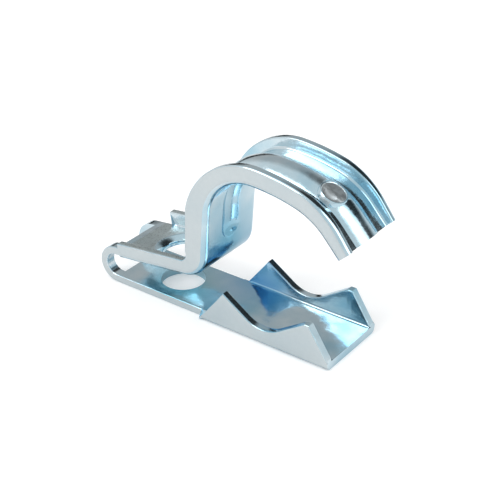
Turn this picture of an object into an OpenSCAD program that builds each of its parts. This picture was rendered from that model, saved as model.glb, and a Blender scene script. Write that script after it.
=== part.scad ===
// Conduit clip: one strip of plated sheet steel, folded into a base, a bolted
// plate, a leg and a hook that holds a conduit down in a notched saddle.
// X runs along the strip, Y across it, Z up from the face that is bolted down.
// The origin is on that face, on the axis of the bolt holes.

/* [Sheet] */
// Thickness of the sheet
sheet_t = 2.6; // [2:0.1:3.2]
// Width over the turned-up edges of the hook, leg and saddle
clip_w = 25.4; // [24:0.1:30]
// Width of the plain strip at the base and in the fold
strip_w = 21.6; // [19:0.1:22.4]
// Outside radius where the edges of the plate, leg and hook are turned up
edge_bend = 1.8; // [1.2:0.1:1.8]

/* [Base and fold] */
// From the bolt axis to the centre of the fold
fold_reach = 18.5; // [17:0.1:22]
// Inside radius of the fold
fold_r = 3.6; // [3:0.1:5]
// Width of the slot through the middle of the fold
slot_w = 15; // [10:0.1:16]
// How far the slot runs into the flat strip past the centre of the fold
slot_run = 0.9; // [0:0.1:2]
// Diameter of the bolt hole in the base
base_hole_d = 14; // [9:0.1:15]

/* [Saddle] */
// From the bolt axis to the centre of the saddle notch
notch_reach = 39.2; // [38:0.1:44]
// Length of the saddle along the foot of its sides
saddle_l = 46.4; // [44:0.1:52]
// How far the notch lies past the middle of the saddle
notch_off = 0.4; // [0:0.1:1.5]
// Height of the saddle sides above the underside
saddle_h = 12.8; // [11:0.1:14]
// Height of the bottom of the notch above the underside
notch_z = 5.3; // [4.5:0.1:6.5]
// Slope of the notch sides
notch_slope = 33; // [30:0.5:38]
// Radius of the bottom of the notch
notch_r = 10.5; // [7:0.1:11.5]
// Slope of the end of the saddle sides next to the bolt
near_end_slope = 52; // [50:0.5:60]
// Slope of the free end of the saddle sides
far_end_slope = 57; // [54:0.5:64]
// Height of the straight foot at the free end of the saddle
foot_h = 2.6; // [1:0.1:4]
// Outside radius where the saddle sides are turned up
saddle_bend = 1.8; // [1:0.1:2.6]

/* [Plate] */
// Rise of the plate away from the fold
plate_rise = 6.5; // [4:0.5:8]
// Length of the plate from the fold to the bend under the leg
plate_l = 29.7; // [28:0.1:33]
// Where the near edge of the plate starts to be turned up, along the plate
edge_start = 3.9; // [2:0.1:6]
// Diameter of the bolt hole in the plate
plate_hole_d = 12; // [8:0.1:13]
// Diameter of the countersunk rim of that hole
rim_d = 17; // [15:0.1:18]
// Depth of the countersunk rim
rim_depth = 1.7; // [1:0.1:1.8]
// Depth of the turned-up edge of the plate, over the underside of the sheet
plate_edge = 5.3; // [5:0.1:6]
// Length of the stop lug on the far edge of the plate
lug_l = 23.4; // [18:0.1:24]
// Depth of the stop lug, over the underside of the sheet
lug_edge = 7; // [6:0.1:8]
// How far the free end of the lug leans over the plate
lug_lean = 2.1; // [0:0.1:2.5]

/* [Leg and hook] */
// Radius of the bend under the leg, on the side of the conduit
foot_bend = 9; // [8.5:0.1:11]
// Lean of the leg from upright, towards the conduit
leg_lean = 4.5; // [0:0.5:8]
// Length of the straight leg
leg_l = 14.4; // [12:0.1:20]
// Inside radius of the shoulder between leg and crown
shoulder_r = 15; // [12:0.1:18]
// Slope of the hook where the shoulder ends
crown_slope = 2; // [0:0.5:4]
// Inside radius of the crown
crown_r = 60; // [50:1:75]
// Turn of the crown
crown_turn = 14; // [11:0.5:17]
// Inside radius of the nose
nose_r = 20; // [18:0.1:24]
// Turn of the nose
nose_turn = 32; // [27:0.5:37]
// Length of the straight lip at the tip
lip_l = 7; // [4:0.1:9]
// Depth of the turned-up edges at the foot of the leg
foot_edge = 7.2; // [6.5:0.1:7.6]
// Depth of the turned-up edges at the top of the leg
leg_edge = 7.7; // [6.5:0.1:8]
// How much shallower those edges are halfway round the shoulder
shoulder_dip = 0.8; // [0:0.1:1.4]
// Depth of the turned-up edges on the crown
crown_edge = 6.3; // [5.5:0.1:7]
// Depth of the turned-up edges at the tip
tip_edge = 5; // [4.7:0.1:6]

/* [Rib and button] */
// Width of the raised rib, outside
rib_w = 11; // [9:0.1:12]
// Height of the rib above the sheet
rib_h = 2; // [1.4:0.1:2.2]
// Height on the straight leg at which the rib starts
rib_start = 1.5; // [1:0.1:5]
// Diameter of the pressed button on the rib
button_d = 8.5; // [6:0.1:9]
// How far the flat face of the button lies below the crest of the rib
button_drop = 0.3; // [0.2:0.1:0.7]
// How far the button lies off the middle of the rib, towards the near edge
button_off = 1.1; // [0:0.1:1.5]
// Where the button sits, in degrees along the nose
button_turn = 11; // [4:0.5:16]

/* [Hidden] */
$fn = 96;
steel = "lightsteelblue";
over = 1;
half_w = clip_w / 2;
half_strip = strip_w / 2;
fold_z = sheet_t + fold_r;
// Along the plate to the bolt axis at the middle of the sheet
plate_hole_run = (fold_reach + (fold_r + sheet_t / 2) * sin(plate_rise)) / cos(plate_rise);
saddle_x = notch_reach - notch_off - saddle_l / 2;
saddle_end = saddle_x + saddle_l;
// Radii of the rib and of its groove, and how far their centre lies below each face
rib_r = (rib_w * rib_w / 4 + rib_h * rib_h) / (2 * rib_h);
groove_r = rib_r - sheet_t;
rib_sunk = rib_r - rib_h;
groove_sunk = rib_sunk - sheet_t;
// Where on the leg the rib has its full section
rib_from = rib_start + sqrt(rib_r * rib_r - rib_sunk * rib_sunk);
button_z = rib_h - button_drop;
RIB_STEPS = 5;
BEND_STEPS = 4;
// What keeps the shapes that cut, or are joined on, clear of the faces they end at
small = 0.05;
least = 0.01;

// The inner face of the sheet from the fold to the tip is a chain of runs:
// straights [0, 0, length] and arcs [side, radius, turn], where side 1 turns
// up and back and side -1 turns over and down.
RUNS = [[0, 0, plate_l],
        [1, foot_bend, 90 - leg_lean - plate_rise],
        [0, 0, leg_l],
        [-1, shoulder_r, 90 - leg_lean + crown_slope],
        [-1, crown_r, crown_turn],
        [-1, nose_r, nose_turn],
        [0, 0, lip_l]];
PLATE = 0;
BEND = 1;
LEG = 2;
SHOULDER = 3;
NOSE = 5;
LIP = 6;
// Depth of the turned-up edges at the start of each run and at the tip
NEAR_EDGES = [plate_edge, plate_edge, foot_edge, leg_edge, crown_edge, crown_edge,
              (crown_edge + tip_edge) / 2, tip_edge];
FAR_EDGES = [for (i = [0:7]) i == BEND ? lug_edge : NEAR_EDGES[i]];
// How finely each run is divided
RUN_STEPS = [1, 14, 1, 18, 4, 8, 1];
FOLD_STEPS = 30;

// A place on the inner face is [x, z, heading]
function along(p, run, part) =
    run[0] == 0
    ? [p[0] + part * run[2] * cos(p[2]), p[1] + part * run[2] * sin(p[2]), p[2]]
    : let (heading = p[2] + run[0] * run[2] * part, r = run[0] * run[1])
      [p[0] + r * (sin(heading) - sin(p[2])), p[1] - r * (cos(heading) - cos(p[2])), heading];
function place(i) =
    i < 1
    ? [-fold_reach - fold_r * sin(plate_rise), fold_z + fold_r * cos(plate_rise), plate_rise]
    : along(place(i - 1), RUNS[i - 1], 1);
function off(p, depth) = [p[0] - depth * sin(p[2]), p[1] + depth * cos(p[2])];

module at_place(p) {
    translate([p[0], 0, p[1]]) rotate([0, -p[2], 0]) children();
}

// Sweeps a section, drawn with x across the strip and y out of the inner face
module sweep_straight(p, length) {
    at_place(p) rotate([90, 0, 90]) linear_extrude(length) children();
}

// One side of the channel, side -1 near and 1 far, with its bend
module channel_side(side, bend, depth) {
    translate([side * (half_w - bend), bend]) circle(bend);
    translate([side * (half_w - sheet_t / 2) - sheet_t / 2, bend])
        square([sheet_t, depth - bend]);
    translate([min(0, side * (half_w - bend)), 0]) square([half_w - bend, sheet_t]);
}

// Places along some runs, as [place, near depth, far depth]
function stations(first, last) = [for (i = [first:last], k = [0:RUN_STEPS[i]])
    if (k > 0 || i == first)
        let (part = k / RUN_STEPS[i], dip = i == SHOULDER ? shoulder_dip * sin(180 * part) : 0)
        [along(place(i), RUNS[i], part),
         NEAR_EDGES[i] + (NEAR_EDGES[i + 1] - NEAR_EDGES[i]) * part - dip,
         FAR_EDGES[i] + (FAR_EDGES[i + 1] - FAR_EDGES[i]) * part - dip]];
function reversed(list) = [for (k = [len(list) - 1:-1:0]) list[k]];

// A band of the given thicknesses over the inner face, as an [x, z] outline
function band(places, depths) = concat(
    [for (p = places) off(p, 0)],
    reversed([for (k = [0:len(places) - 1]) off(places[k], depths[k])]));

// Extrudes an [x, z] outline across the strip, from one y to another
module across(from, to) {
    translate([0, to, 0]) rotate([90, 0, 0]) linear_extrude(to - from) children();
}

// The whole strip: base, fold, plate, leg and hook
module strip() {
    fold_places = [for (k = [0:FOLD_STEPS])
        let (a = 180 - (180 - plate_rise) * k / FOLD_STEPS)
        [-fold_reach - fold_r * sin(a), fold_z + fold_r * cos(a), a]];
    places = concat([[saddle_x + saddle_h, sheet_t, 180]], fold_places,
                    [for (s = stations(PLATE, LIP)) if (s[0] != place(PLATE)) s[0]]);
    across(-half_strip, half_strip) polygon(band(places, [for (p = places) sheet_t]));
}

module hook_sheet() {
    places = [for (s = stations(BEND, LIP)) s[0]];
    across(-half_w, half_w) polygon(band(places, [for (p = places) sheet_t]));
}

module near_side() {
    turned_up = stations(BEND, LIP);
    start = along(place(PLATE), RUNS[PLATE], edge_start / plate_l);
    across(-half_w, sheet_t - half_w)
        polygon(band(concat([start], [for (s = turned_up) s[0]]),
                     concat([plate_edge], [for (s = turned_up) s[1]])));
}

module far_side() {
    turned_up = stations(BEND, LIP);
    across(half_w - sheet_t, half_w)
        polygon(band([for (s = turned_up) s[0]], [for (s = turned_up) s[2]]));
}

module lug() {
    start = along(place(PLATE), RUNS[PLATE], 1 - lug_l / plate_l);
    foot = along(place(PLATE), RUNS[PLATE], 1 - (lug_l - lug_lean) / plate_l);
    finish = place(BEND);
    across(half_w - sheet_t, half_w)
        polygon([off(foot, 0), off(finish, 0), off(finish, lug_edge), off(start, lug_edge)]);
}

// Half width and height of a rib of radius r whose centre lies sunk below a
// face, at a distance past the centre of the ball that ends it
function chord(r, sunk, past) = sqrt(max(least, r * r - past * past - sunk * sunk));
function bump(r, sunk, past, u) = max(least, sqrt(max(0, r * r - past * past - u * u)) - sunk);

// A rib of round section over a face that lies face_v out of the inner face,
// with its root below that face and its tip past or short of the strip's end
module rib(r, sunk, face_v, root, tip) {
    full = sqrt(r * r - sunk * sunk);
    ends = [for (k = [1:RIB_STEPS])
        let (past = full * cos(90 * k / RIB_STEPS))
        [along(place(LEG), RUNS[LEG], (rib_from - past) / leg_l), past]];
    leg_heading = place(LEG)[2];
    rest = [for (s = stations(LEG, LIP))
        if (s[0][1] > ends[RIB_STEPS - 1][0][1] || s[0][2] < leg_heading) s[0]];
    stretch = [for (k = [0:len(rest) - 1])
        [k == len(rest) - 1 ? along(rest[k], [0, 0, tip], 1) : rest[k], 0]];
    rings = [for (s = concat(ends, stretch)) concat(
        [for (k = [-RIB_STEPS:RIB_STEPS])
            let (u = chord(r, sunk, s[1]) * sin(90 * k / RIB_STEPS),
                 at = off(s[0], face_v + bump(r, sunk, s[1], u)))
            [at[0], u, at[1]]],
        [for (side = [1, -1])
            let (at = off(s[0], face_v - root))
            [at[0], side * chord(r, sunk, s[1]), at[1]]])];
    n = len(rings[0]);
    last = len(rings) - 1;
    polyhedron(
        points = [for (q = rings) for (p = q) p],
        faces = concat(
            [for (i = [0:last - 1], k = [0:n - 1])
                [i * n + k, i * n + (k + 1) % n, (i + 1) * n + (k + 1) % n]],
            [for (i = [0:last - 1], k = [0:n - 1])
                [i * n + k, (i + 1) * n + (k + 1) % n, (i + 1) * n + k]],
            [[for (k = [n - 1:-1:0]) k], [for (k = [0:n - 1]) last * n + k]]));
}

// What a bend leaves off the square corner of the strip along one side, -1 near
// and 1 far, from a place on the plate to the tip
module bend_relief(side, start) {
    turned_up = [for (s = stations(BEND, LIP)) s[0]];
    tip = along(turned_up[len(turned_up) - 1], [0, 0, over], 1);
    places = concat([start], [for (k = [0:len(turned_up) - 2]) turned_up[k]], [tip]);
    arc = [for (k = [0:BEND_STEPS]) let (a = 90 * k / BEND_STEPS)
        [half_w - edge_bend * (1 - cos(a)), edge_bend * (1 - sin(a))]];
    n = BEND_STEPS + 2;
    outline = [for (k = [0:BEND_STEPS + 1])
        k == 0 ? 1.3 * arc[0] - 0.3 * arc[1]
        : k == BEND_STEPS ? 1.3 * arc[k] - 0.3 * arc[k - 1]
        : k > BEND_STEPS ? [half_w + over, -over] : arc[k]];
    last = len(places) - 1;
    polyhedron(
        points = [for (p = places, q = outline) let (at = off(p, q[1])) [at[0], side * q[0], at[1]]],
        faces = [for (face = concat(
            [for (i = [0:last - 1], k = [0:n - 1])
                [i * n + k, i * n + (k + 1) % n, (i + 1) * n + (k + 1) % n]],
            [for (i = [0:last - 1], k = [0:n - 1])
                [i * n + k, (i + 1) * n + (k + 1) % n, (i + 1) * n + k]],
            [[for (k = [n - 1:-1:0]) k], [for (k = [0:n - 1]) last * n + k]]))
            side > 0 ? reversed(face) : face]);
}

module fold_slot() {
    deep = fold_z + over;
    translate([-fold_reach - deep, -slot_w / 2, -over]) cube([deep + slot_run, slot_w, 2 * deep]);
}

module saddle_outline() {
    apex_z = notch_z + notch_r - notch_r / cos(notch_slope);
    tangent_z = notch_z + notch_r - notch_r * cos(notch_slope);
    tangent_x = notch_r * sin(notch_slope);
    reach = (saddle_h + over - apex_z) / tan(notch_slope);
    difference() {
        polygon([[saddle_x, 0], [saddle_x + saddle_h / tan(near_end_slope), saddle_h],
                 [saddle_end - (saddle_h - foot_h) / tan(far_end_slope), saddle_h],
                 [saddle_end, foot_h], [saddle_end, 0]]);
        translate([notch_reach, notch_z + notch_r]) circle(notch_r);
        polygon([[notch_reach - reach, saddle_h + over], [notch_reach - tangent_x, tangent_z],
                 [notch_reach + tangent_x, tangent_z], [notch_reach + reach, saddle_h + over]]);
    }
}

module saddle() {
    intersection() {
        sweep_straight([saddle_x, 0, 0], saddle_end - saddle_x)
            for (side = [-1, 1]) channel_side(side, saddle_bend, saddle_h);
        translate([0, half_w, 0]) rotate([90, 0, 0]) linear_extrude(clip_w) saddle_outline();
    }
}

// A disc of the button's width, from one height over the sheet to another
module button(from, to) {
    at_place(along(place(NOSE), RUNS[NOSE], button_turn / nose_turn))
        translate([0, -button_off, sheet_t + from]) cylinder(h = to - from, d = button_d);
}

module plate_hole() {
    top = off(along(place(PLATE), RUNS[PLATE], plate_hole_run / plate_l), sheet_t);
    at_place([top[0], top[1], plate_rise]) {
        translate([0, 0, -sheet_t - over]) cylinder(h = sheet_t + 2 * over, d = plate_hole_d);
        translate([0, 0, -rim_depth]) cylinder(h = rim_depth, d1 = plate_hole_d, d2 = rim_d);
    }
}

module conduit_clip() {
    color(steel) difference() {
        union() {
            strip();
            saddle();
            hook_sheet();
            near_side();
            far_side();
            lug();
            difference() {
                rib(rib_r, rib_sunk, sheet_t, sheet_t / 2, -small);
                button(button_z, button_z + over);
            }
            button(0, button_z);
        }
        rib(groove_r, groove_sunk, 0, over, over);
        bend_relief(-1, along(place(PLATE), RUNS[PLATE], (edge_start - over) / plate_l));
        bend_relief(1, along(place(PLATE), RUNS[PLATE], 1 - (lug_l + 1 * over) / plate_l));
        fold_slot();
        translate([0, 0, -over]) cylinder(h = sheet_t + 2 * over, d = base_hole_d);
        plate_hole();
    }
}

conduit_clip();
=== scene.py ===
import math

import bpy
from mathutils import Matrix, Vector


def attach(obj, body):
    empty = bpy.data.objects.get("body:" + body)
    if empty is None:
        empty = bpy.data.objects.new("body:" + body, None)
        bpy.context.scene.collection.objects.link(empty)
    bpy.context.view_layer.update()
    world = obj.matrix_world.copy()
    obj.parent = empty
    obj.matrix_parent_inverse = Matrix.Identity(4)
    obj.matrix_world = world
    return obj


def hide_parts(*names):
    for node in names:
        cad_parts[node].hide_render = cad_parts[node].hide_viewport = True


MM = 0.001

# The sheet and the widths of the strip, in millimetres
SHEET = 2.6
HALF_CLIP = 12.7
HALF_STRIP = 10.8
EDGE_BEND = 2.2
FILLET = 0.9
CUT_ROUND = 0.45

# Base, fold and saddle
FOLD_X = -18.5
FOLD_R = 3.6
SLOT_HALF = 7.5
SLOT_RUN = 0.9
BASE_HOLE_R = 7.0
NOTCH_X = 39.2
SADDLE_START = 15.6
SADDLE_END = 62.0
SADDLE_H = 12.8
NOTCH_Z = 5.3
NOTCH_R = 10.5
NOTCH_SLOPE = math.radians(33)
NEAR_END_SLOPE = math.radians(52)
FAR_END_SLOPE = math.radians(57)
SADDLE_CORNER = 1.8
NOTCH_APEX = NOTCH_Z + NOTCH_R - NOTCH_R / math.cos(NOTCH_SLOPE)

# Plate
RISE = math.radians(6.5)
PLATE_L = 29.7
EDGE_START = 3.9
PLATE_EDGE = 5.3
LUG_L = 23.4
LUG_LEAN = 2.1
LUG_EDGE = 7.0
PLATE_HOLE_R = 6.0
RIM_R = 8.5
RIM_DEPTH = 1.7
RIM_CURVE = 1.6
RIM_STEPS = 6

# Leg and hook, as runs of (side, radius or length, turn)
LEG_LEAN = math.radians(4.5)
LEG_L = 14.4
PLATE_RUN = (0, PLATE_L, 0.0)
BEND_RUN = (1, 9.0, math.pi / 2 - LEG_LEAN - RISE)
LEG_RUN = (0, LEG_L, 0.0)
SHOULDER_RUN = (-1, 15.0, math.pi / 2 - LEG_LEAN + math.radians(2))
CROWN_RUN = (-1, 60.0, math.radians(14))
NOSE_RUN = (-1, 20.0, math.radians(32))
LIP_RUN = (0, 7.0, 0.0)
RUNS = (PLATE_RUN, BEND_RUN, LEG_RUN, SHOULDER_RUN, CROWN_RUN, NOSE_RUN, LIP_RUN)
PLATE, BEND, LEG, SHOULDER, CROWN, NOSE, LIP = range(7)
RUN_STEPS = (8, 16, 20, 26, 10, 12, 6)
SADDLE_STEPS = 60
NEAR_END_STEPS = 10
LEDGE_STEPS = 4
BASE_STEPS = 8
FOLD_STEPS = 30
# Length of the step where an edge turns up, as a part of the plate
JOG = 0.002
NEAR_EDGES = (PLATE_EDGE, PLATE_EDGE, 7.2, 7.7, 6.3, 6.3, 5.65, 5.0)
FAR_EDGES = (PLATE_EDGE, LUG_EDGE, 7.2, 7.7, 6.3, 6.3, 5.65, 5.0)
SHOULDER_DIP = 0.8
TOP_ROUNDS = (0.45, 0.45, 0.5, 0.5, 0.7, 0.8, 1.5, 1.5)

# Rib and button
RIB_W = 11.0
RIB_H = 2.0
RIB_START = 1.5
RIB_R = (RIB_W ** 2 / 4 + RIB_H ** 2) / (2 * RIB_H)
RIB_SUNK = RIB_R - RIB_H
GROOVE_R = RIB_R - SHEET
GROOVE_SUNK = RIB_SUNK - SHEET
BUTTON_R = 4.25
BUTTON_TOP = SHEET + RIB_H - 0.3
BUTTON_OFF = 1.1
BUTTON_PART = 11 / 32
DIMPLE_R = 2.4
DIMPLE_FLOOR_R = 2.0

# How the mesh is finished
BREAK = 0.3
BREAK_STEPS = 2
BREAK_ANGLE = math.radians(50)
SMOOTH_ANGLE = math.radians(35)
SAME_POINT = 0.001
SAME_CUTTER_POINT = 0.0005
HOLE_STEPS = 96
BUTTON_STEPS = 64


def along(place, run, part):
    """The place on the inner face that lies a part of a run further on."""
    x, z, heading = place
    side, size, turn = run
    if side == 0:
        return (x + part * size * math.cos(heading), z + part * size * math.sin(heading), heading)
    turned = heading + side * turn * part
    reach = side * size
    return (x + reach * (math.sin(turned) - math.sin(heading)),
            z - reach * (math.cos(turned) - math.cos(heading)), turned)


def run_start(index):
    """The place at which a run starts."""
    place = (FOLD_X - FOLD_R * math.sin(RISE), SHEET + FOLD_R + FOLD_R * math.cos(RISE), RISE)
    for run in RUNS[:index]:
        place = along(place, run, 1.0)
    return place


def out_of(place, depth, across):
    """A point over a place on the inner face."""
    x, z, heading = place
    return Vector((x - depth * math.sin(heading), across, z + depth * math.cos(heading)))


def arc(centre_u, centre_v, radius, first, last, count):
    """Points on an arc of a section, with its angles in degrees."""
    angles = [math.radians(first + (last - first) * k / (count - 1)) for k in range(count)]
    return [(centre_u + radius * math.cos(a), centre_v + radius * math.sin(a)) for a in angles]


def level(first, last, v, count):
    """Points on a flat stretch of a section."""
    return [(first + (last - first) * k / (count - 1), v) for k in range(count)]


def rib_points(radius, sunk, face, past):
    """Half of a rib's outline over a face, from its crest to its foot."""
    chord = math.sqrt(max(4.0, radius ** 2 - past ** 2 - sunk ** 2))
    points = []
    for k in range(9):
        u = chord * math.sin(math.pi / 2 * k / 8)
        height = math.sqrt(max(0.0, radius ** 2 - past ** 2 - u ** 2)) - sunk
        points.append((u, face + max(0.0, height)))
    return points


def turned_up_edge(half_width, top, top_round):
    """The section past the rib where the edge is turned up to top."""
    wall = half_width - SHEET
    points = arc(wall - FILLET, SHEET + FILLET, FILLET, 270, 360, 6)
    points += arc(wall + CUT_ROUND, top - CUT_ROUND, CUT_ROUND, 180, 90, 4)
    points += arc(half_width - top_round, top - top_round, top_round, 90, 0, 7)
    points += arc(half_width - EDGE_BEND, EDGE_BEND, EDGE_BEND, 0, -90, 9)
    points += level(half_width - EDGE_BEND - 0.1, wall - FILLET - 0.2, 0.0, 4)
    points += level(wall - FILLET - 0.4, wall - FILLET - 0.8, 0.0, 6)
    return points


def saddle_edge(half_width, low):
    """The section past the middle where the edge is turned down to low. A low
    over the inner face is the ledge that a saddle side starts as."""
    wall = half_width - SHEET
    outer = min(SADDLE_CORNER, 0.8 * (SHEET - low))
    points = level(wall - FILLET - 0.8, wall - FILLET - 0.4, SHEET, 6)
    points += level(wall - FILLET - 0.2, half_width - SADDLE_CORNER - 0.1, SHEET, 4)
    points += arc(half_width - outer, SHEET - outer, outer, 90, 0, 7)
    if low < -0.05:
        cut = min(CUT_ROUND, -low / 3)
        fillet = min(FILLET, -low / 2)
        points += arc(half_width - cut, low + cut, cut, 0, -90, 9)
        points += arc(wall + cut, low + cut, cut, -90, -180, 4)
        points += arc(wall - fillet, -fillet, fillet, 0, 90, 6)
        return points
    ledge = max(0.0, low)
    points += [(half_width, SHEET - outer + (ledge - SHEET + outer) * k / 3) for k in (1, 2, 3)]
    points += level(half_width - 0.1, HALF_STRIP + 0.1, ledge, 3)
    points += [(HALF_STRIP - 0.05 * k, ledge * (1 - k / 2)) for k in range(3)]
    points += level(HALF_STRIP - 0.2, wall + 0.3, 0.0, 4)
    points += level(wall, wall - FILLET, 0.0, 6)
    return points


def plain_edge(half_width):
    """The section past the middle where the strip is flat."""
    wall = half_width - SHEET
    points = level(wall - FILLET, wall, SHEET, 6)
    points += level(wall + 0.2, half_width - CUT_ROUND - 0.1, SHEET, 4)
    points += arc(half_width - CUT_ROUND, SHEET - CUT_ROUND, CUT_ROUND, 90, 0, 7)
    points += arc(half_width - CUT_ROUND, CUT_ROUND, CUT_ROUND, 0, -90, 9)
    points += level(half_width - CUT_ROUND - 0.1, wall + 0.2, 0.0, 4)
    points += level(wall, wall - FILLET, 0.0, 6)
    return points


def half_section(half_width, top, low, past, top_round=CUT_ROUND):
    """One half of the strip's section, from the middle of its outer face to the
    middle of its inner face. Every kind of edge has as many points."""
    if top > SHEET:
        edge = turned_up_edge(half_width, top, top_round)
    elif half_width > HALF_STRIP:
        edge = saddle_edge(half_width, low)
    else:
        edge = plain_edge(half_width)
    outer_rib = rib_points(RIB_R, RIB_SUNK, SHEET, past)
    inner_rib = rib_points(GROOVE_R, GROOVE_SUNK, 0.0, past)
    return outer_rib + edge + inner_rib[::-1]


def saddle_height(x):
    """Height of the saddle sides over the underside, at a place along the base."""
    away = abs(x - NOTCH_X)
    if away < NOTCH_R * math.sin(NOTCH_SLOPE):
        notch = NOTCH_Z + NOTCH_R - math.sqrt(NOTCH_R ** 2 - away ** 2)
    else:
        notch = NOTCH_APEX + away * math.tan(NOTCH_SLOPE)
    near_end = (x - SADDLE_START) * math.tan(NEAR_END_SLOPE)
    far_end = SHEET + (SADDLE_END - x) * math.tan(FAR_END_SLOPE)
    return min(SADDLE_H, notch, near_end, far_end)


# A station is (place, near half, far half), each half as half_section takes it,
# and for the free end of the lug how far it leans back.
PLAIN = (HALF_STRIP, SHEET, 0.0, RIB_R)


def saddle_stations():
    """From the saddle's free end to where its sides start."""
    slope = math.tan(NOTCH_SLOPE)
    end_slope = math.tan(NEAR_END_SLOPE)
    near_peak = (NOTCH_APEX + NOTCH_X * slope + SADDLE_START * end_slope) / (end_slope + slope)
    far_peaks = [NOTCH_X + (SADDLE_H - NOTCH_APEX) / slope,
                 SADDLE_END - (SADDLE_H - SHEET) / math.tan(FAR_END_SLOPE)]
    ledge = SADDLE_START + SHEET / end_slope
    places = [SADDLE_END - (SADDLE_END - near_peak) * k / SADDLE_STEPS
              for k in range(SADDLE_STEPS)]
    places += [near_peak - (near_peak - ledge) * k / NEAR_END_STEPS
               for k in range(NEAR_END_STEPS)]
    places += [ledge - (ledge - SADDLE_START) * k / LEDGE_STEPS for k in range(LEDGE_STEPS)]
    stations = []
    for x in sorted(places + far_peaks, reverse=True):
        half = (HALF_CLIP, SHEET, SHEET - saddle_height(x), RIB_R)
        stations.append(((x, SHEET, math.pi), half, half))
    return stations


def base_stations():
    """Along the plain base, and round the fold."""
    stations = []
    for k in range(BASE_STEPS):
        x = SADDLE_START - (SADDLE_START - FOLD_X) * k / BASE_STEPS
        stations.append(((x, SHEET, math.pi), PLAIN, PLAIN))
    for k in range(FOLD_STEPS):
        heading = math.pi - (math.pi - RISE) * k / FOLD_STEPS
        place = (FOLD_X - FOLD_R * math.sin(heading),
                 SHEET + FOLD_R + FOLD_R * math.cos(heading), heading)
        stations.append((place, PLAIN, PLAIN))
    return stations


def plate_stations():
    """Along the plate, whose near edge and lug turn up within a jog."""
    near_start = EDGE_START / PLATE_L
    far_start = 1 - (LUG_L - LUG_LEAN) / PLATE_L
    parts = [k / RUN_STEPS[PLATE] for k in range(RUN_STEPS[PLATE])]
    parts += [near_start, near_start + JOG, far_start, far_start + JOG]
    stations = []
    for part in sorted(parts):
        near = (HALF_CLIP, PLATE_EDGE, 0.0, RIB_R) if part > near_start else PLAIN
        far = (HALF_CLIP, LUG_EDGE, 0.0, RIB_R) if part > far_start else PLAIN
        lean = LUG_LEAN if part == far_start + JOG else 0.0
        stations.append((along(run_start(PLATE), PLATE_RUN, part), near, far, lean))
    return stations


def rib_past(index, part):
    """How far past the middle of the rib's round end a station lies."""
    full = math.sqrt(RIB_R ** 2 - RIB_SUNK ** 2)
    if index == BEND:
        return RIB_R
    if index == LEG:
        return max(0.0, RIB_START + full - part * LEG_L)
    return 0.0


def hook_stations():
    """From the bend under the leg to the hook's tip."""
    stations = []
    for index in range(BEND, LIP + 1):
        for k in range(RUN_STEPS[index] + (index == LIP)):
            part = k / RUN_STEPS[index]
            past = rib_past(index, part)
            dip = SHOULDER_DIP * math.sin(math.pi * part) if index == SHOULDER else 0.0
            near, far, top_round = (depths[index] + (depths[index + 1] - depths[index]) * part
                                    for depths in (NEAR_EDGES, FAR_EDGES, TOP_ROUNDS))
            stations.append((along(run_start(index), RUNS[index], part),
                             (HALF_CLIP, near - dip, 0.0, past, top_round),
                             (HALF_CLIP, far - dip, 0.0, past, top_round)))
    return stations


def strip_stations():
    """Every station, from the saddle's free end to the hook's tip."""
    return saddle_stations() + base_stations() + plate_stations() + hook_stations()


def section_ring(station):
    """The points round the strip at a station."""
    place, near, far = station[:3]
    lean = station[3] / LUG_EDGE if len(station) > 3 else 0.0
    back = Vector((math.cos(place[2]), 0.0, math.sin(place[2])))
    ring = []
    for u, v in half_section(*far):
        turned_up = v > SHEET + 0.01 or u > HALF_STRIP
        ring.append(out_of(place, v, u) - back * (lean * v if turned_up else 0.0))
    ring += [out_of(place, v, -u) for u, v in reversed(half_section(*near)[1:-1])]
    return ring


def deselect():
    """Leaves nothing selected."""
    if bpy.context.object and bpy.context.object.mode == "EDIT":
        bpy.ops.object.mode_set(mode="OBJECT")
    bpy.ops.object.select_all(action="DESELECT")


def make_strip():
    """The bent strip: a section drawn out into a straight bar, a step for each
    station, whose rings are then laid along the folded path."""
    stations = strip_stations()
    count = len(section_ring(stations[0]))
    deselect()
    bpy.ops.mesh.primitive_circle_add(vertices=count, radius=1.0, fill_type="NGON")
    strip = bpy.context.object
    strip.name = "folded_strip"
    bpy.ops.object.mode_set(mode="EDIT")
    bpy.ops.mesh.select_all(action="SELECT")
    for _ in stations[1:]:
        bpy.ops.mesh.extrude_region_move(TRANSFORM_OT_translate={"value": (0.0, 0.0, 1.0)})
    bpy.ops.object.mode_set(mode="OBJECT")
    rings = [section_ring(station) for station in stations]
    for vertex in strip.data.vertices:
        turned = math.atan2(vertex.co.y, vertex.co.x) - math.pi / 2
        spoke = round(turned * count / (2 * math.pi)) % count
        vertex.co = rings[round(vertex.co.z)][spoke]
    bpy.ops.object.mode_set(mode="EDIT")
    bpy.ops.mesh.select_all(action="SELECT")
    bpy.ops.mesh.quads_convert_to_tris()
    bpy.ops.mesh.normals_make_consistent(inside=False)
    bpy.ops.object.mode_set(mode="OBJECT")
    return strip


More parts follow.
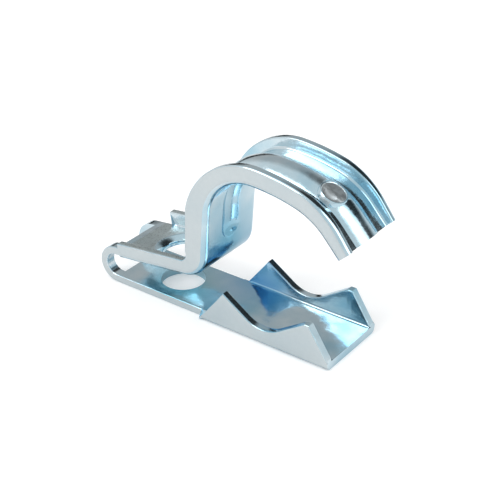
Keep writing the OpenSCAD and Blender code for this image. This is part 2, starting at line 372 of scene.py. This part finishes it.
def make_turned(name, profile, place, steps=HOLE_STEPS, across=0.0):
    """A turned cutter or button: an [r, height] profile spun round the normal
    of a place on the strip."""
    deselect()
    bpy.ops.mesh.primitive_circle_add(vertices=len(profile), radius=1.0, fill_type="NOTHING")
    turned = bpy.context.object
    turned.name = name
    for vertex, (radius, height) in zip(turned.data.vertices, profile):
        vertex.co = (radius, 0.0, height)
    bpy.ops.object.mode_set(mode="EDIT")
    bpy.ops.mesh.select_all(action="SELECT")
    bpy.ops.mesh.spin(steps=steps, angle=2 * math.pi, center=(0, 0, 0), axis=(0, 0, 1))
    bpy.ops.mesh.select_all(action="SELECT")
    bpy.ops.mesh.remove_doubles(threshold=SAME_CUTTER_POINT)
    bpy.ops.mesh.delete_loose()
    bpy.ops.mesh.select_all(action="SELECT")
    bpy.ops.mesh.normals_make_consistent(inside=False)
    bpy.ops.object.mode_set(mode="OBJECT")
    x, z, heading = place
    turned.data.transform(Matrix.Translation((x, across, z)) @ Matrix.Rotation(-heading, 4, "Y"))
    return turned


def make_block(name, low, high):
    """A block cutter between two corners."""
    deselect()
    bpy.ops.mesh.primitive_cube_add(size=1.0)
    block = bpy.context.object
    block.name = name
    size = [b - a for a, b in zip(low, high)]
    middle = [(a + b) / 2 for a, b in zip(low, high)]
    block.data.transform(Matrix.Translation(middle) @ Matrix.Diagonal((*size, 1.0)))
    return block


def combine(body, other, operation):
    """Cuts another piece out of the body, or joins it on."""
    deselect()
    bpy.context.view_layer.objects.active = body
    body.select_set(True)
    modifier = body.modifiers.new("combine", "BOOLEAN")
    modifier.operation = operation
    modifier.solver = "EXACT"
    modifier.object = other
    bpy.ops.object.modifier_apply(modifier=modifier.name)
    bpy.data.objects.remove(other)


def round_edges(body):
    """Breaks the sharp edges that the cuts and ends leave."""
    modifier = body.modifiers.new("rounding", "BEVEL")
    modifier.width = BREAK
    modifier.segments = BREAK_STEPS
    modifier.limit_method = "ANGLE"
    modifier.angle_limit = BREAK_ANGLE
    modifier.use_clamp_overlap = True
    bpy.ops.object.modifier_apply(modifier=modifier.name)


def merge_points(body):
    """Merges the points that lie on each other, so no face is left without area."""
    deselect()
    body.select_set(True)
    bpy.context.view_layer.objects.active = body
    bpy.ops.object.mode_set(mode="EDIT")
    bpy.ops.mesh.select_all(action="SELECT")
    bpy.ops.mesh.remove_doubles(threshold=SAME_POINT)
    bpy.ops.object.mode_set(mode="OBJECT")


def cut_slot(clip):
    """The wide slot through the middle of the fold."""
    fold_out = FOLD_R + SHEET + 1.0
    slot = make_block("slot", (FOLD_X - fold_out, -SLOT_HALF, -1.0),
                      (FOLD_X + SLOT_RUN, SLOT_HALF, 2 * fold_out))
    combine(clip, slot, "DIFFERENCE")


def cut_base_hole(clip):
    """The round bolt hole through the base."""
    profile = [(0, -1), (BASE_HOLE_R, -1), (BASE_HOLE_R, 3 * SHEET), (0, 3 * SHEET)]
    combine(clip, make_turned("base_hole", profile, (0.0, 0.0, 0.0)), "DIFFERENCE")


def cut_plate_hole(clip):
    """The plate's bolt hole, over the base's, with its dished rim."""
    run = (-FOLD_X + (FOLD_R + SHEET / 2) * math.sin(RISE)) / math.cos(RISE)
    place = along(run_start(PLATE), PLATE_RUN, run / PLATE_L)
    rim = [(PLATE_HOLE_R + (RIM_R - PLATE_HOLE_R) * (k / RIM_STEPS) ** RIM_CURVE,
            SHEET - RIM_DEPTH + RIM_DEPTH * k / RIM_STEPS) for k in range(RIM_STEPS + 1)]
    profile = [(0, -1), (PLATE_HOLE_R, -1)] + rim + [(RIM_R + 0.8, SHEET + 0.12), (0, SHEET + 3)]
    combine(clip, make_turned("plate_hole", profile, place), "DIFFERENCE")


def press_button(clip):
    """The round button, in a space cut out of the rib."""
    place = along(run_start(NOSE), NOSE_RUN, BUTTON_PART)
    space = [(0, BUTTON_TOP), (BUTTON_R - 0.1, BUTTON_TOP), (BUTTON_R + 0.6, BUTTON_TOP + 1.5),
             (0, BUTTON_TOP + 3)]
    combine(clip, make_turned("button_space", space, place, BUTTON_STEPS, -BUTTON_OFF), "DIFFERENCE")
    button = [(0, SHEET + 0.3), (BUTTON_R + 0.4, SHEET + 0.3), (BUTTON_R, BUTTON_TOP - 0.1),
              (BUTTON_R - 0.25, BUTTON_TOP + 0.15), (BUTTON_R - 0.5, BUTTON_TOP + 0.1),
              (BUTTON_R - 0.8, BUTTON_TOP - 0.2), (DIMPLE_R, BUTTON_TOP - 0.25),
              (DIMPLE_FLOOR_R, BUTTON_TOP), (0, BUTTON_TOP + 0.1)]
    combine(clip, make_turned("button", button, place, BUTTON_STEPS, -BUTTON_OFF), "UNION")


def make_clip():
    """The whole clip, as one closed piece."""
    clip = make_strip()
    cut_slot(clip)
    cut_base_hole(clip)
    cut_plate_hole(clip)
    press_button(clip)
    round_edges(clip)
    merge_points(clip)
    bpy.ops.object.shade_smooth_by_angle(angle=SMOOTH_ANGLE)
    clip.data.transform(Matrix.Scale(MM, 4))
    clip.name = "zinc_clip"
    return clip


def make_group(name, inputs, outputs):
    """An empty shader node group with its sockets."""
    group = bpy.data.node_groups.new(name, "ShaderNodeTree")
    for socket, kind, value in inputs:
        made = group.interface.new_socket(name=socket, in_out="INPUT", socket_type=kind)
        made.default_value = value
    for socket, kind in outputs:
        group.interface.new_socket(name=socket, in_out="OUTPUT", socket_type=kind)
    return group, group.nodes.new("NodeGroupInput"), group.nodes.new("NodeGroupOutput")


def make_tint_group():
    """Cloudy blue passivation over bright zinc."""
    group, ins, outs = make_group(
        "passivation_tint",
        [("Vector", "NodeSocketVector", (0, 0, 0)), ("Scale", "NodeSocketFloat", 60.0),
         ("Pale", "NodeSocketColor", (0.8, 0.85, 0.88, 1)),
         ("Blue", "NodeSocketColor", (0.5, 0.68, 0.78, 1)), ("Amount", "NodeSocketFloat", 0.5)],
        [("Color", "NodeSocketColor")])
    links = group.links
    cloud = group.nodes.new("ShaderNodeTexNoise")
    cloud.inputs["Detail"].default_value = 4.0
    links.new(ins.outputs["Vector"], cloud.inputs["Vector"])
    links.new(ins.outputs["Scale"], cloud.inputs["Scale"])
    spread = group.nodes.new("ShaderNodeMapRange")
    spread.inputs["From Min"].default_value = 0.35
    spread.inputs["From Max"].default_value = 0.7
    links.new(cloud.outputs["Fac"], spread.inputs["Value"])
    scale = group.nodes.new("ShaderNodeMath")
    scale.operation = "MULTIPLY"
    links.new(spread.outputs["Result"], scale.inputs[0])
    links.new(ins.outputs["Amount"], scale.inputs[1])
    mix = group.nodes.new("ShaderNodeMix")
    mix.data_type = "RGBA"
    links.new(scale.outputs[0], mix.inputs["Factor"])
    links.new(ins.outputs["Pale"], mix.inputs["A"])
    links.new(ins.outputs["Blue"], mix.inputs["B"])
    links.new(mix.outputs["Result"], outs.inputs["Color"])
    return group


def make_grain_group():
    """Fine plating grain with pits, as a height and a roughness."""
    group, ins, outs = make_group(
        "plating_grain",
        [("Vector", "NodeSocketVector", (0, 0, 0)), ("Scale", "NodeSocketFloat", 1500.0),
         ("Smooth", "NodeSocketFloat", 0.18), ("Rough", "NodeSocketFloat", 0.3)],
        [("Height", "NodeSocketFloat"), ("Roughness", "NodeSocketFloat")])
    links = group.links
    fine = group.nodes.new("ShaderNodeTexNoise")
    fine.inputs["Detail"].default_value = 3.0
    links.new(ins.outputs["Vector"], fine.inputs["Vector"])
    links.new(ins.outputs["Scale"], fine.inputs["Scale"])
    links.new(fine.outputs["Fac"], outs.inputs["Height"])
    spread = group.nodes.new("ShaderNodeMapRange")
    spread.inputs["From Min"].default_value = 0.3
    spread.inputs["From Max"].default_value = 0.7
    links.new(fine.outputs["Fac"], spread.inputs["Value"])
    links.new(ins.outputs["Smooth"], spread.inputs["To Min"])
    links.new(ins.outputs["Rough"], spread.inputs["To Max"])
    links.new(spread.outputs["Result"], outs.inputs["Roughness"])
    return group


def make_painted_shade_group():
    """A soft round spot of painted shade and dark blue reflection, a deeper tint about one point of
    the clip.
    """
    group, ins, outs = make_group(
        "painted_shade_spot",
        [("Vector", "NodeSocketVector", (0, 0, 0)), ("Color", "NodeSocketColor", (1, 1, 1, 1)),
         ("Centre", "NodeSocketVector", (0, 0, 0)), ("Radius", "NodeSocketFloat", 0.01),
         ("Tint", "NodeSocketColor", (0.2, 0.5, 0.6, 1))],
        [("Color", "NodeSocketColor")])
    links = group.links
    reach = group.nodes.new("ShaderNodeVectorMath")
    reach.operation = "DISTANCE"
    links.new(ins.outputs["Vector"], reach.inputs[0])
    links.new(ins.outputs["Centre"], reach.inputs[1])
    fade = group.nodes.new("ShaderNodeMapRange")
    fade.interpolation_type = "SMOOTHSTEP"
    fade.inputs["To Min"].default_value = 1.0
    fade.inputs["To Max"].default_value = 0.0
    links.new(reach.outputs["Value"], fade.inputs["Value"])
    links.new(ins.outputs["Radius"], fade.inputs["From Max"])
    mix = group.nodes.new("ShaderNodeMix")
    mix.data_type = "RGBA"
    links.new(fade.outputs["Result"], mix.inputs["Factor"])
    links.new(ins.outputs["Color"], mix.inputs["A"])
    links.new(ins.outputs["Tint"], mix.inputs["B"])
    links.new(mix.outputs["Result"], outs.inputs["Color"])
    return group


def add_painted_shade(material, shade_spots):
    """Paints shade and dark blue reflection into a finish at the given spots: centre, radius, tint.
    """
    nodes = material.node_tree.nodes
    links = material.node_tree.links
    shader = nodes["Principled BSDF"]
    painted_shade_tree = make_painted_shade_group()
    place = nodes.new("ShaderNodeTexCoord")
    for centre, radius, tint in shade_spots:
        node = nodes.new("ShaderNodeGroup")
        node.node_tree = painted_shade_tree
        node.inputs["Centre"].default_value = [MM * part for part in centre]
        node.inputs["Radius"].default_value = MM * radius
        node.inputs["Tint"].default_value = (*tint, 1)
        links.new(place.outputs["Object"], node.inputs["Vector"])
        links.new(shader.inputs["Base Color"].links[0].from_socket, node.inputs["Color"])
        links.new(node.outputs["Color"], shader.inputs["Base Color"])


# Painted shade and dark blue reflection, as a deeper tint: in the saddle's far
# corner, on the base under the plate, and down the inner side of the leg
PAINTED_SHADE_SPOTS = (
    ((20.0, 11.5, 8.0), 20.0, (0.24, 0.50, 0.74)),
    ((2.0, -3.0, 2.6), 17.0, (0.16, 0.46, 0.56)),
    ((16.0, -2.0, 22.0), 19.0, (0.17, 0.46, 0.63)),
)


def make_sway_group():
    """Slow waviness of rolled and bent sheet, as a normal."""
    group, ins, outs = make_group(
        "sheet_sway",
        [("Vector", "NodeSocketVector", (0, 0, 0)), ("Scale", "NodeSocketFloat", 160.0),
         ("Depth", "NodeSocketFloat", 0.0002)],
        [("Normal", "NodeSocketVector")])
    links = group.links
    wave = group.nodes.new("ShaderNodeTexNoise")
    wave.inputs["Detail"].default_value = 1.0
    links.new(ins.outputs["Vector"], wave.inputs["Vector"])
    links.new(ins.outputs["Scale"], wave.inputs["Scale"])
    bump = group.nodes.new("ShaderNodeBump")
    bump.inputs["Strength"].default_value = 1.0
    links.new(ins.outputs["Depth"], bump.inputs["Distance"])
    links.new(wave.outputs["Fac"], bump.inputs["Height"])
    links.new(bump.outputs["Normal"], outs.inputs["Normal"])
    return group


# The finishes of the plating. Amount is how blue the cloudy stretches are, and
# smooth and rough are the roughness between the grains and on them.
FACE_FINISH = {
    "pale": (0.70, 0.81, 0.86, 1), "blue": (0.24, 0.53, 0.68, 1), "amount": 0.75,
    "smooth": 0.10, "rough": 0.2, "grain": 0.15, "grain_scale": 1500.0}
SIDE_FINISH = {
    "pale": (0.64, 0.70, 0.72, 1), "blue": (0.56, 0.65, 0.69, 1), "amount": 0.6,
    "smooth": 0.38, "rough": 0.5, "grain": 0.3, "grain_scale": 900.0}
PLATE_FINISH = {
    "pale": (0.62, 0.71, 0.72, 1), "blue": (0.42, 0.56, 0.60, 1), "amount": 0.6,
    "smooth": 0.22, "rough": 0.5, "grain": 0.9, "grain_scale": 2400.0}
GRAIN_DEPTH = 0.0001


def make_zinc(name, groups, finish):
    """Bright zinc plating of one finish."""
    tint, grain, sway = groups
    material = bpy.data.materials.new(name)
    material.use_nodes = True
    nodes = material.node_tree.nodes
    links = material.node_tree.links
    shader = nodes["Principled BSDF"]
    shader.inputs["Metallic"].default_value = 1.0
    place = nodes.new("ShaderNodeTexCoord")
    colour = nodes.new("ShaderNodeGroup")
    colour.node_tree = tint
    colour.inputs["Pale"].default_value = finish["pale"]
    colour.inputs["Blue"].default_value = finish["blue"]
    colour.inputs["Amount"].default_value = finish["amount"]
    links.new(place.outputs["Object"], colour.inputs["Vector"])
    links.new(colour.outputs["Color"], shader.inputs["Base Color"])
    texture = nodes.new("ShaderNodeGroup")
    texture.node_tree = grain
    texture.inputs["Scale"].default_value = finish["grain_scale"]
    texture.inputs["Smooth"].default_value = finish["smooth"]
    texture.inputs["Rough"].default_value = finish["rough"]
    links.new(place.outputs["Object"], texture.inputs["Vector"])
    links.new(texture.outputs["Roughness"], shader.inputs["Roughness"])
    wave = nodes.new("ShaderNodeGroup")
    wave.node_tree = sway
    links.new(place.outputs["Object"], wave.inputs["Vector"])
    relief = nodes.new("ShaderNodeBump")
    relief.inputs["Strength"].default_value = finish["grain"]
    relief.inputs["Distance"].default_value = GRAIN_DEPTH
    links.new(texture.outputs["Height"], relief.inputs["Height"])
    links.new(wave.outputs["Normal"], relief.inputs["Normal"])
    links.new(relief.outputs["Normal"], shader.inputs["Normal"])
    return material


# Where each finish lies: how squarely a face looks its own way, and how far the
# grain reaches from the bolt hole
SHEARED_FACING = 0.9
BUTTON_FACING = 0.6
PLATE_FACING = 0.995
BUTTON_RIM = 0.6
GRAIN_REACH = 15.0
FACE, SIDE, GRAINED = range(3)


def dress_clip(clip):
    """Gives the clip its finishes: bright faces, duller sheared sides and button,
    and a grained plate."""
    groups = (make_tint_group(), make_grain_group(), make_sway_group())
    face = make_zinc("zinc_face", groups, FACE_FINISH)
    side = make_zinc("zinc_side", groups, SIDE_FINISH)
    grained = make_zinc("zinc_plate", groups, PLATE_FINISH)
    # Painted shade and dark blue reflection, in soft spots on the bright faces
    add_painted_shade(face, PAINTED_SHADE_SPOTS)
    clip.data.materials.clear()
    for finish in (face, side, grained):
        clip.data.materials.append(finish)
    plate_up = Vector((-math.sin(RISE), 0.0, math.cos(RISE)))
    place = along(run_start(NOSE), NOSE_RUN, BUTTON_PART)
    button_out = (out_of(place, 1.0, 0.0) - out_of(place, 0.0, 0.0)).normalized()
    button_top = out_of(place, BUTTON_TOP, -BUTTON_OFF)
    for polygon in clip.data.polygons:
        middle = polygon.center / MM
        outward = math.copysign(1.0, middle.y)
        sheared = polygon.normal.y * outward > SHEARED_FACING
        on_button = ((middle - button_top).length < BUTTON_R - BUTTON_RIM
                     and polygon.normal.dot(button_out) > BUTTON_FACING)
        on_plate = (polygon.normal.dot(plate_up) > PLATE_FACING and middle.z > 2 * FOLD_R
                    and abs(middle.x) < GRAIN_REACH)
        if sheared or on_button:
            polygon.material_index = SIDE
        elif on_plate:
            polygon.material_index = GRAINED
        else:
            polygon.material_index = FACE


# Light added to the floor for the camera, which takes it to white
FLOOR_LIFT = 0.22


def make_floor():
    """A pale floor that goes far past the view, and looks white to the camera
    where the clip doesn't shade it."""
    deselect()
    bpy.ops.mesh.primitive_plane_add(size=6.0)
    floor = bpy.context.object
    floor.name = "pale_floor"
    material = bpy.data.materials.new("floor_paint")
    material.use_nodes = True
    shader = material.node_tree.nodes["Principled BSDF"]
    shader.inputs["Base Color"].default_value = (0.9, 0.9, 0.9, 1)
    shader.inputs["Roughness"].default_value = 0.8
    shader.inputs["Specular IOR Level"].default_value = 0.1
    shader.inputs["Emission Color"].default_value = (1, 1, 1, 1)
    rays = material.node_tree.nodes.new("ShaderNodeLightPath")
    lift = material.node_tree.nodes.new("ShaderNodeMath")
    lift.operation = "MULTIPLY"
    lift.inputs[1].default_value = FLOOR_LIFT
    material.node_tree.links.new(rays.outputs["Is Camera Ray"], lift.inputs[0])
    material.node_tree.links.new(lift.outputs[0], shader.inputs["Emission Strength"])
    floor.data.materials.append(material)


def make_patch_group():
    """A soft round patch of another level in one direction of the studio."""
    group, ins, outs = make_group(
        "studio_patch",
        [("Base", "NodeSocketFloat", 0.8), ("Direction", "NodeSocketVector", (0, 0, 1)),
         ("Level", "NodeSocketFloat", 0.0), ("Edge", "NodeSocketFloat", 0.7),
         ("Core", "NodeSocketFloat", 0.9)],
        [("Level", "NodeSocketFloat")])
    links = group.links
    place = group.nodes.new("ShaderNodeTexCoord")
    dot = group.nodes.new("ShaderNodeVectorMath")
    dot.operation = "DOT_PRODUCT"
    links.new(place.outputs["Generated"], dot.inputs[0])
    links.new(ins.outputs["Direction"], dot.inputs[1])
    fade = group.nodes.new("ShaderNodeMapRange")
    fade.interpolation_type = "SMOOTHSTEP"
    links.new(dot.outputs["Value"], fade.inputs["Value"])
    links.new(ins.outputs["Edge"], fade.inputs["From Min"])
    links.new(ins.outputs["Core"], fade.inputs["From Max"])
    mix = group.nodes.new("ShaderNodeMix")
    links.new(fade.outputs["Result"], mix.inputs["Factor"])
    links.new(ins.outputs["Base"], mix.inputs["A"])
    links.new(ins.outputs["Level"], mix.inputs["B"])
    links.new(mix.outputs["Result"], outs.inputs["Level"])
    return group


STUDIO_LEVEL = 0.8
# Direction, level, and the cosines at which the patch fades out and is full
STUDIO_PATCHES = (
    ((-0.52, 0.69, 0.50), 0.45, 0.80, 0.97),
    ((0.28, 0.68, 0.68), 0.03, 0.80, 0.94),
    ((0.74, 0.06, 0.65), 1.5, 0.94, 0.975),
    ((-0.73, 0.68, 0.0), 0.02, 0.945, 0.98),
)


def make_world():
    """A white surround for the camera, a studio for what the metal reflects, and
    soft light for everything else."""
    world = bpy.data.worlds.new("studio")
    bpy.context.scene.world = world
    world.use_nodes = True
    nodes = world.node_tree.nodes
    links = world.node_tree.links
    back = nodes["Background"]
    back.inputs["Color"].default_value = (1, 1, 1, 1)
    patch = make_patch_group()
    last = None
    for direction, level, edge, core in STUDIO_PATCHES:
        node = nodes.new("ShaderNodeGroup")
        node.node_tree = patch
        node.inputs["Base"].default_value = STUDIO_LEVEL
        node.inputs["Direction"].default_value = Vector(direction).normalized()
        node.inputs["Level"].default_value = level
        node.inputs["Edge"].default_value = edge
        node.inputs["Core"].default_value = core
        if last:
            links.new(last.outputs["Level"], node.inputs["Base"])
        last = node
    rays = nodes.new("ShaderNodeLightPath")
    seen = nodes.new("ShaderNodeMath")
    seen.operation = "MAXIMUM"
    links.new(rays.outputs["Is Camera Ray"], seen.inputs[0])
    links.new(rays.outputs["Is Transmission Ray"], seen.inputs[1])
    soft = nodes.new("ShaderNodeMix")
    soft.inputs["A"].default_value = STUDIO_LEVEL
    links.new(rays.outputs["Is Glossy Ray"], soft.inputs["Factor"])
    links.new(last.outputs["Level"], soft.inputs["B"])
    whole = nodes.new("ShaderNodeMix")
    whole.inputs["B"].default_value = 1.0
    links.new(seen.outputs[0], whole.inputs["Factor"])
    links.new(soft.outputs["Result"], whole.inputs["A"])
    links.new(whole.outputs["Result"], back.inputs["Strength"])


def make_lamp(name, place, aim, size, power):
    """A soft square lamp."""
    light = bpy.data.lights.new(name, "AREA")
    light.size = size
    light.energy = power
    lamp = bpy.data.objects.new(name, light)
    lamp.location = place
    lamp.rotation_euler = (Vector(aim) - Vector(place)).to_track_quat("-Z", "Y").to_euler()
    bpy.context.scene.collection.objects.link(lamp)


CAMERA_AZIMUTH = math.radians(36.65)
CAMERA_ELEVATION = math.radians(29.94)
CAMERA_ROLL = math.radians(-0.41)
CAMERA_PLACE = (0.20856, -0.24542, 0.19766)
LENS = 86.4


def make_camera():
    """The photograph's view."""
    azimuth, elevation = CAMERA_AZIMUTH, CAMERA_ELEVATION
    back = Vector((math.sin(azimuth) * math.cos(elevation),
                   -math.cos(azimuth) * math.cos(elevation), math.sin(elevation)))
    right = Vector((math.cos(azimuth), math.sin(azimuth), 0.0))
    up = back.cross(right)
    turn = Matrix((right, up, back)).transposed().to_4x4()
    data = bpy.data.cameras.new("camera")
    data.lens = LENS
    data.sensor_width = 36.0
    camera = bpy.data.objects.new("camera", data)
    camera.matrix_world = (Matrix.Translation(CAMERA_PLACE) @ turn
                           @ Matrix.Rotation(CAMERA_ROLL, 4, "Z"))
    bpy.context.scene.collection.objects.link(camera)
    bpy.context.scene.camera = camera


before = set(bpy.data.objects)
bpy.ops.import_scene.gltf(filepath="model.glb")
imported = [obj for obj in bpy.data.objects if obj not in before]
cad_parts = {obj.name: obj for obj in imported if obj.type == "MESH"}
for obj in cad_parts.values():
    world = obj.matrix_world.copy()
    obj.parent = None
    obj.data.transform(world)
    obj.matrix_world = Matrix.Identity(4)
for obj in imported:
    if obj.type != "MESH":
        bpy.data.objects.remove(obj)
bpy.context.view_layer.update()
bpy.context.scene.view_settings.view_transform = "Standard"
make_camera()
make_world()
make_floor()
clip = make_clip()
dress_clip(clip)
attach(clip, "root")
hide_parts("conduit_clip")
make_lamp("key", (-0.3, -0.5, 0.8), (0.02, 0, 0.02), 0.6, 3.0)
make_lamp("fill", (0.7, 0.2, 0.6), (0.02, 0, 0.02), 0.6, 1.5)
